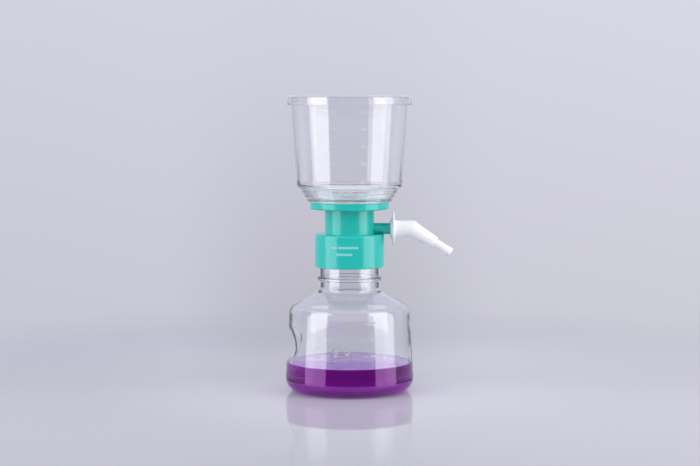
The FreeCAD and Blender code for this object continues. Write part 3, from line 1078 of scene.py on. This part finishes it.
@dataclass
class Funnel:
    """Clear cup with its stepped conical bottom, raised scale and dust lid."""

    body: str = "filter_top"
    wall: float = 1.6
    taper: float = 4.45
    base_height: float = 11.0
    corner_rounding: float = 3.5
    floor_height: float = 12.8
    floor_rounding: float = 1.5
    brim_rounding: float = 0.4
    terrace_count: int = 3
    terrace_width: float = 7.1
    terrace_top: float = 9.6
    terrace_ledge: float = 1.4
    terrace_rounding: float = 0.4
    foot_radius: float = 29.4
    foot_height: float = 0.5
    crisp_rounding: float = 0.1
    row_spacing: float = 2.0
    dish_radius: float = 23.5
    clamp_ledge: float = 1.3
    clamp_slope: float = 3.6
    clamp_rise: float = 1.3
    lid_gap: float = 0.4
    lid_wall: float = 1.25
    lid_plate: float = 1.3
    lid_skirt: float = 5.5
    lid_flare: float = 0.95
    lid_top_rounding: float = 1.2
    lid_foot_rounding: float = 0.3
    scale: RaisedScale = RaisedScale(
        levels=tuple((153.3 + 12.3 * step, str(50 * (step + 1))) for step in range(5)),
        bar_size=(3.2, 0.5), bar_across=-11.4, number_height=2.4, number_across=9.6)
    foot: float = float(span("funnel")[0][2])
    brim: float = float(span("funnel")[1][2])
    brim_radius: float = float(span("funnel")[1][0])

    @property
    def base_radius(self) -> float:
        """Outer radius of the wall's lower end."""
        return self.brim_radius - self.taper

    def wall_radius(self, height: np.ndarray) -> np.ndarray:
        """Outer radius of the wall at a height."""
        low = self.foot + self.base_height
        return self.base_radius + self.taper * (height - low) / (self.brim - low)

    def terraces(self) -> list[Corner]:
        """Outline of the stepped cone under the wall, from the top step to the foot.

        Returns:
            Its corners.
        """
        top_radius = self.foot_radius + self.terrace_width
        drop = (self.terrace_top - self.foot_height) / self.terrace_count
        run = (self.terrace_width - self.terrace_ledge) / self.terrace_count
        corners: list[Corner] = []
        for i in range(self.terrace_count):
            radius, height = top_radius - i * run, self.foot + self.terrace_top - i * drop
            corners += [(radius, height, self.terrace_rounding),
                        (radius - self.terrace_ledge, height, self.terrace_rounding)]
        shelf = self.foot + self.foot_height
        return [*corners, (self.foot_radius + self.terrace_ledge, shelf, self.crisp_rounding),
                (self.foot_radius, shelf, self.crisp_rounding), (self.foot_radius, self.foot, 0)]

    def cup(self) -> Shell:
        """Funnel: its outline turned about the axis.

        The stepped cone under the wall gets the second finish.

        Returns:
            The closed shell.
        """
        ledge = self.foot + self.clamp_ledge
        low = self.foot + self.base_height
        start = (self.brim_radius - self.wall / 2, self.brim, 0)
        outline = rounded([
            start,
            (self.brim_radius, self.brim, self.brim_rounding),
            (self.base_radius, low, self.corner_rounding),
            *self.terraces(),
            (self.dish_radius, self.foot, 0),
            (self.dish_radius, ledge, self.crisp_rounding),
            (self.dish_radius + self.clamp_slope, ledge + self.clamp_rise, self.floor_rounding),
            (self.base_radius - self.wall, self.foot + self.floor_height,
             self.corner_rounding - self.wall),
            (self.brim_radius - self.wall, self.brim, self.brim_rounding),
            start,
        ])
        shell = turned(refined(outline[:-1], self.row_spacing))
        return Shell(shell.points, shell.faces, shell.points[earliest(shell), 2] < low)

    def lid(self) -> Shell:
        """Dust lid: flat plate and flaring skirt turned about the axis.

        The plate's rounded rim gets the second finish.

        Returns:
            The closed shell.
        """
        top = self.brim_radius + self.lid_gap + self.lid_wall
        foot_radius = top + self.lid_flare
        foot = self.brim - self.lid_skirt
        outline = rounded([
            (0, self.brim, 0),
            (top - self.lid_wall, self.brim, self.lid_foot_rounding),
            (foot_radius - self.lid_wall, foot, self.lid_foot_rounding),
            (foot_radius, foot, self.lid_foot_rounding),
            (top, self.brim + self.lid_plate, self.lid_top_rounding),
            (0, self.brim + self.lid_plate, 0),
        ])
        shell = turned(refined(outline, self.row_spacing))
        x, y, height = shell.points[earliest(shell)].T
        rim = (np.hypot(x, y) > top - self.lid_top_rounding) & (height > self.brim)
        return Shell(shell.points, shell.faces, rim)

    def build(self) -> None:
        """Makes the funnel, its scale and the lid."""
        marks = self.scale.marks(self.wall_radius)
        place_piece("funnel_cup", self.cup(), [CLEAR_FUNNEL, HAZY_FOOT], self.body,
                    ["funnel"])
        place_piece("funnel_scale", marks, [MARKS], self.body)
        place_piece("dust_lid", self.lid(), [CLEAR_LID, HAZY_RIM], self.body,
                    ["lid"])


# ---- hose connector ----

@dataclass
class HoseConnector:
    """White elbow that takes the vacuum hose."""

    def build(self) -> None:
        """Dresses the solid."""
        dress_node("hose_connector", WHITE)


# ---- studio ----

# Colour towards which the halos' painted shade darkens
BLACK = (0.0, 0.0, 0.0)


def halo_across(nodes: Nodes, x: Socket, left: float, reach: Range, depth: float) -> Socket:
    """How dark the painted soft shade behind the unit is: from its depth to 0 by |x + left|.

    Args:
        nodes: Nodes of the world or the table top.
        x: Output that runs across.
        left: How far left of the middle the shade lies.
        reach: Where off its middle it starts to fade and is gone.
        depth: Share by which it darkens.

    Returns:
        Output with the share.
    """
    off = nodes.maths("ABSOLUTE", nodes.maths("ADD", x, left))
    return nodes.mapped(off, reach, (depth, 0), smooth=True)


@dataclass
class Surroundings:
    """World round the unit: pale, a little paler above and to the right, with soft dark parts.

    A direction is given by X, Y and Z at a length of 1, with Y away from the camera. Behind the
    unit lies a painted soft shade, the halo, of which a clear wall shows a share. Light that has
    gone through clear plastic also finds an upright dark band on each side behind the unit, a
    painted dark sheet which draws its rims and reaches lower down on the left. Light that a
    surface has thrown back finds the room's low front dark, and its sides dark lower down still:
    painted dark parts that only reflections meet.
    """

    high_shades: tuple[str, str] = ("D2D1DF", "D9D8E6")     # left and right
    low_shades: tuple[str, str] = ("C7C6D4", "CCCCD6")
    upward: Range = (-0.14, 0.06)
    rightward: Range = (-0.2, 0.2)
    halo_left: float = 0.01
    halo_reach: Range = (0.02, 0.1)
    halo_depth: float = 0.16
    halo_heights: Range = (-0.12, 0.02)
    halo_above: float = 0.15
    halo_front: Range = (0.5, 0.9)
    halo_through: float = 0.25
    # Colour of the painted dark bands and the painted dark parts of the room
    dark_shade: str = "2A2A30"
    band: Range = (0.32, 0.84)                              # by |X| / Y
    band_edges: Range = (0.85, 1.2)
    band_heights: Range = (-0.09, -0.07)
    band_above: float = 0.14
    band_end: Range = (-0.12, -0.112)
    middle: Range = (-0.02, 0.02)
    least_behind: float = 0.001
    room_front: Range = (0.75, 0.9)
    room_sides: Range = (-0.45, -0.3)
    room_tops: Range = (0.0, -0.135)
    room_softness: float = 0.01
    room_foot: Range = (-0.22, -0.18)
    room_depth: float = 0.9

    def pale(self, nodes: Nodes, way: Outputs) -> Socket:
        """Pale part of the surroundings, with the halo's painted shade.

        Args:
            nodes: The world's nodes.
            way: X, Y and Z of the direction.

        Returns:
            Output with the colour.
        """
        upward = nodes.mapped(way["Z"], self.upward, (0, 1))
        sides = [nodes.mixed(upward, linear(low), linear(high))
                 for low, high in zip(self.low_shades, self.high_shades)]
        rightward = nodes.mapped(way["X"], self.rightward, (0, 1))
        seen = (nodes.path["Is Camera Ray"], self.halo_through)
        # The halo: a painted soft shade behind the unit.
        halo = nodes.product(
            halo_across(nodes, way["X"], self.halo_left, self.halo_reach, self.halo_depth),
            nodes.mapped(way["Z"], self.halo_heights, (1, self.halo_above)),
            nodes.mapped(way["Y"], self.halo_front, (0, 1)),
            nodes.mapped(nodes.path["Is Transmission Ray"], (0, 1), seen))
        return nodes.mixed(halo, nodes.mixed(rightward, *sides), BLACK)

    def bands(self, nodes: Nodes, way: Outputs) -> Socket:
        """Painted dark bands behind the unit, seen only through clear plastic.

        Args:
            nodes: The world's nodes.
            way: X, Y and Z of the direction.

        Returns:
            Output with their share, from 0 to 1.
        """
        (near, far), (before, past) = self.band, self.band_edges
        behind = nodes.maths("MAXIMUM", way["Y"], self.least_behind)
        across = nodes.maths("DIVIDE", nodes.maths("ABSOLUTE", way["X"]), behind)
        fading = nodes.mapped(way["Z"], self.band_heights, (1, self.band_above), smooth=True)
        foot = nodes.maths("MAXIMUM", nodes.rise(way["Z"], self.band_end),
                           nodes.fall(way["X"], self.middle))
        return nodes.product(nodes.rise(across, (near * before, near)),
                             nodes.fall(across, (far, far * past)),
                             nodes.path["Is Transmission Ray"], nodes.product(fading, foot))

    def room(self, nodes: Nodes, way: Outputs) -> Socket:
        """Painted dark parts of the room, seen only in reflections.

        Args:
            nodes: The world's nodes.
            way: X, Y and Z of the direction.

        Returns:
            Output with their share, from 0 to 1.
        """
        top = nodes.mapped(way["Y"], self.room_sides, self.room_tops, smooth=True)
        low = nodes.product(
            nodes.fall(nodes.maths("SUBTRACT", way["Z"], top),
                       (-self.room_softness, self.room_softness)),
            nodes.rise(way["Z"], self.room_foot))
        return nodes.product(nodes.fall(way["Y"], self.room_front), low,
                             nodes.path["Is Glossy Ray"], nodes.thrown_back(), self.room_depth)

    def build(self) -> None:
        """Makes the world."""
        world = bpy.data.worlds.new("surroundings")
        bpy.context.scene.world = world
        world.use_nodes = True
        nodes = Nodes(world.node_tree)
        way = nodes.parts(nodes.add("TexCoord").outputs["Generated"])
        dark = nodes.maths("MAXIMUM", self.bands(nodes, way), self.room(nodes, way))
        shade = nodes.mixed(dark, self.pale(nodes, way), linear(self.dark_shade))
        glow = nodes.add("Background", {"Color": shade, "Strength": 1.0})
        nodes.add("OutputWorld", {"Surface": glow.outputs[0]})


@dataclass
class TableTop:
    """Pale floor disc, polished round the unit, that fades into the surroundings.

    It is darker far off, where a share of the surroundings' colour stands in for the polish as a
    painted reflection. It is darker to the left, at the front and at the sides, which is painted
    shade, and carries the halo, a painted soft shade behind the unit.
    """

    radius: float = 1.0
    corners: int = 96
    # Floor colours; the left ones and the front ones are darker, which is painted shade
    shades: tuple[str, str] = ("C6C6CE", "D2D2D9")          # left and right
    front_shades: tuple[str, str] = ("BABABF", "C6C6C9")
    far_shade: str = "B8B8C5"
    painted_side_shade: str = "6A6A72"
    rightward: Range = (-0.25, 0.15)
    front_reach: Range = (0.04, 0.2)
    front_end: Range = (0.0, 0.25)
    aside: Range = (0.33, 0.45)
    halo_left: float = 0.014
    halo_reach: Range = (0.03, 0.14)
    halo_depth: float = 0.2
    halo_start: Range = (0.01, 0.08)
    halo_end: Range = (0.2, 0.42)
    polished: Range = (0.12, 0.36)
    # Share of the far shade, a painted reflection, where the polish has faded
    painted_reflection_share: float = 0.3
    grain: float = 30.0
    roughness: Range = (0.03, 0.06)
    index: float = 1.33
    fade: Range = (0.14, 0.55)
    mirror_end: Range = (0.05, 0.1)

    def shade(self, nodes: Nodes, reach: Socket, polish: Socket) -> Socket:
        """Colour of the table top, with its painted shade and painted reflection.

        Args:
            nodes: The material's nodes.
            reach: Distance from the middle.
            polish: 1 where the table top is polished.

        Returns:
            Output with the colour.
        """
        x, y, _ = nodes.parts(nodes.place)
        rightward = nodes.rise(x, self.rightward)
        # Darker to the left than the right, and darker still at the front: painted shade against
        # the soft boxes' uneven light.
        plain, before = (nodes.mixed(rightward, linear(left), linear(right))
                         for left, right in (self.shades, self.front_shades))
        front = nodes.product(nodes.rise(reach, self.front_reach), nodes.fall(y, self.front_end))
        # At the sides, toward the soft boxes, the floor darkens: painted shade against their
        # light.
        aside = nodes.rise(nodes.maths("ABSOLUTE", x), self.aside)
        shade = nodes.mixed(aside, nodes.mixed(front, plain, before), linear(self.painted_side_shade))
        # Where the polish fades, the colour takes a share of the far shade: a painted reflection
        # of the surroundings that stands in for the lost gloss.
        painted_reflection = nodes.product(nodes.maths("SUBTRACT", 1.0, polish), self.painted_reflection_share)
        # The halo: a painted soft shade on the floor behind the unit, for the camera only.
        halo = nodes.product(
            halo_across(nodes, x, self.halo_left, self.halo_reach, self.halo_depth),
            nodes.rise(y, self.halo_start), nodes.fall(y, self.halo_end),
            nodes.path["Is Camera Ray"])
        return nodes.mixed(halo, nodes.mixed(painted_reflection, shade, linear(self.far_shade)), BLACK)

    def material(self) -> bpy.types.Material:
        """Makes the material.

        It is see-through far off, and to reflections all but a patch under the unit is.

        Returns:
            Material with a matt and a polished shader.
        """
        made, nodes = new_material("table_top")
        reach = nodes.add("VectorMath", {0: nodes.place}, operation="LENGTH").outputs["Value"]
        polish = nodes.fall(reach, self.polished)
        matt = nodes.add("BsdfDiffuse", {"Color": self.shade(nodes, reach, polish)})
        gloss = nodes.mapped(nodes.noise(nodes.place, self.grain), NOISE_SPAN, self.roughness)
        shine = nodes.add("BsdfGlossy", {"Color": (1, 1, 1, 1), "Roughness": gloss})
        fresnel = nodes.product(nodes.add("Fresnel", {"IOR": self.index}).outputs[0], polish)
        top = nodes.blend(fresnel, matt.outputs[0], shine.outputs[0])
        mirrored = nodes.product(nodes.rise(reach, self.mirror_end), nodes.path["Is Glossy Ray"])
        share = nodes.maths("MAXIMUM", nodes.rise(reach, self.fade), mirrored)
        surface = nodes.blend(share, top, nodes.add("BsdfTransparent").outputs[0])
        nodes.add("OutputMaterial", {"Surface": surface})
        return made

    def build(self) -> None:
        """Makes the floor."""
        angle = np.linspace(0, 2 * math.pi, self.corners, endpoint=False)
        rim = np.stack([np.cos(angle), np.sin(angle), np.zeros(self.corners)], axis=1)
        mesh = bpy.data.meshes.new("floor")
        mesh.from_pydata((rim * self.radius).tolist(), [], [list(range(self.corners))])
        mesh.materials.append(self.material())
        floor = in_scene("floor", mesh)


@dataclass
class Studio:
    """Camera, surroundings, table top and two upright soft boxes, each behind a screen.

    The soft boxes' low parts, the shine boxes, are seen in gloss but light nothing matt.
    """

    camera_place: tuple[float, float, float] = (0.0003, -1.250, 0.2092)
    camera_dip: float = 4.33
    lens: float = 88.97
    sensor: float = 36.0
    clip_end: float = 50.0
    box_distance: float = 0.6
    box_turns: tuple[float, float] = (-63.5, 67.5)          # from the front, in degrees
    box_width: float = 0.47
    box_top: float = 0.9
    box_foot: float = 0.05
    shine_foot: float = -0.2
    box_radiance: float = 2.3
    screen_gap: float = 0.004
    screen_weave: float = 900.0
    surroundings: Surroundings = field(default_factory=Surroundings)
    table_top: TableTop = field(default_factory=TableTop)

    def camera(self) -> None:
        """Long lens at about the lid's height, looking slightly down."""
        data = bpy.data.cameras.new("camera")
        data.lens, data.sensor_width, data.clip_end = self.lens, self.sensor, self.clip_end
        holder = in_scene("camera", data)
        holder.location = self.camera_place
        holder.rotation_euler = (math.radians(90 - self.camera_dip), 0, 0)
        bpy.context.scene.camera = holder

    def soft_box(self, name: str, turn: float, foot: float, top: float) -> bpy.types.Object:
        """Upright soft box beside the camera that faces the unit.

        Args:
            name: Name of the lamp.
            turn: How far round from the front it stands, in radians, left ones negative.
            foot: Height of its lower edge.
            top: Height of its upper edge.

        Returns:
            The lamp.
        """
        data = bpy.data.lights.new(name, "AREA")
        data.shape, data.size, data.size_y = "RECTANGLE", self.box_width, top - foot
        data.energy = self.box_radiance * math.pi * self.box_width * (top - foot)
        holder = in_scene(name, data)
        holder.location = (self.box_distance * math.sin(turn),
                           -self.box_distance * math.cos(turn), (foot + top) / 2)
        holder.rotation_euler = (math.radians(90), 0, turn)
        holder.visible_camera = False
        return holder

    def screen(self, box: bpy.types.Object) -> None:
        """Pale screen just before a soft box, met only by light straight through the plastic.

        From behind the unit its clear walls then show the screen and not the bright box.

        Args:
            box: The soft box.
        """
        across, up, gap = box.data.size / 2, box.data.size_y / 2, -self.screen_gap
        corners = [(-across, -up, gap), (across, -up, gap), (across, up, gap), (-across, up, gap)]
        mesh = bpy.data.meshes.new(f"{box.name}_screen")
        mesh.from_pydata(corners, [], [[3, 2, 1, 0]])
        made, nodes = new_material(mesh.name)
        cloth = nodes.noise(nodes.place, self.screen_weave)
        pale = nodes.mixed(cloth, *map(linear, self.surroundings.high_shades))
        shown = nodes.add("Emission", {"Color": pale, "Strength": 1.0})
        surface = nodes.blend(nodes.thrown_back(), shown.outputs[0],
                              nodes.add("BsdfTransparent").outputs[0])
        nodes.add("OutputMaterial", {"Surface": surface})
        mesh.materials.append(made)
        screen = in_scene(mesh.name, mesh)
        screen.location, screen.rotation_euler = box.location, box.rotation_euler
        screen.visible_camera = screen.visible_diffuse = screen.visible_glossy = False
        screen.visible_shadow = screen.visible_volume_scatter = False

    def build(self) -> None:
        """Sets up the whole studio."""
        bpy.context.scene.view_settings.view_transform = "Standard"
        self.camera()
        self.surroundings.build()
        for name, degrees in zip(("left", "right"), self.box_turns):
            turn = math.radians(degrees)
            box = self.soft_box(f"soft_box_{name}", turn, self.box_foot, self.box_top)
            shine = self.soft_box(f"shine_box_{name}", turn, self.shine_foot, self.box_foot)
            shine.visible_diffuse = False
            self.screen(box)
            self.screen(shine)
        self.table_top.build()


def main() -> None:
    """Builds the studio first and then each sub-assembly, from the table up."""
    logging.basicConfig(level=logging.INFO, format="%(name)s: %(message)s")
    Studio().build()
    Receiver().build()
    Closure().build()
    Funnel().build()
    HoseConnector().build()


if __name__ == "__main__":
    main()
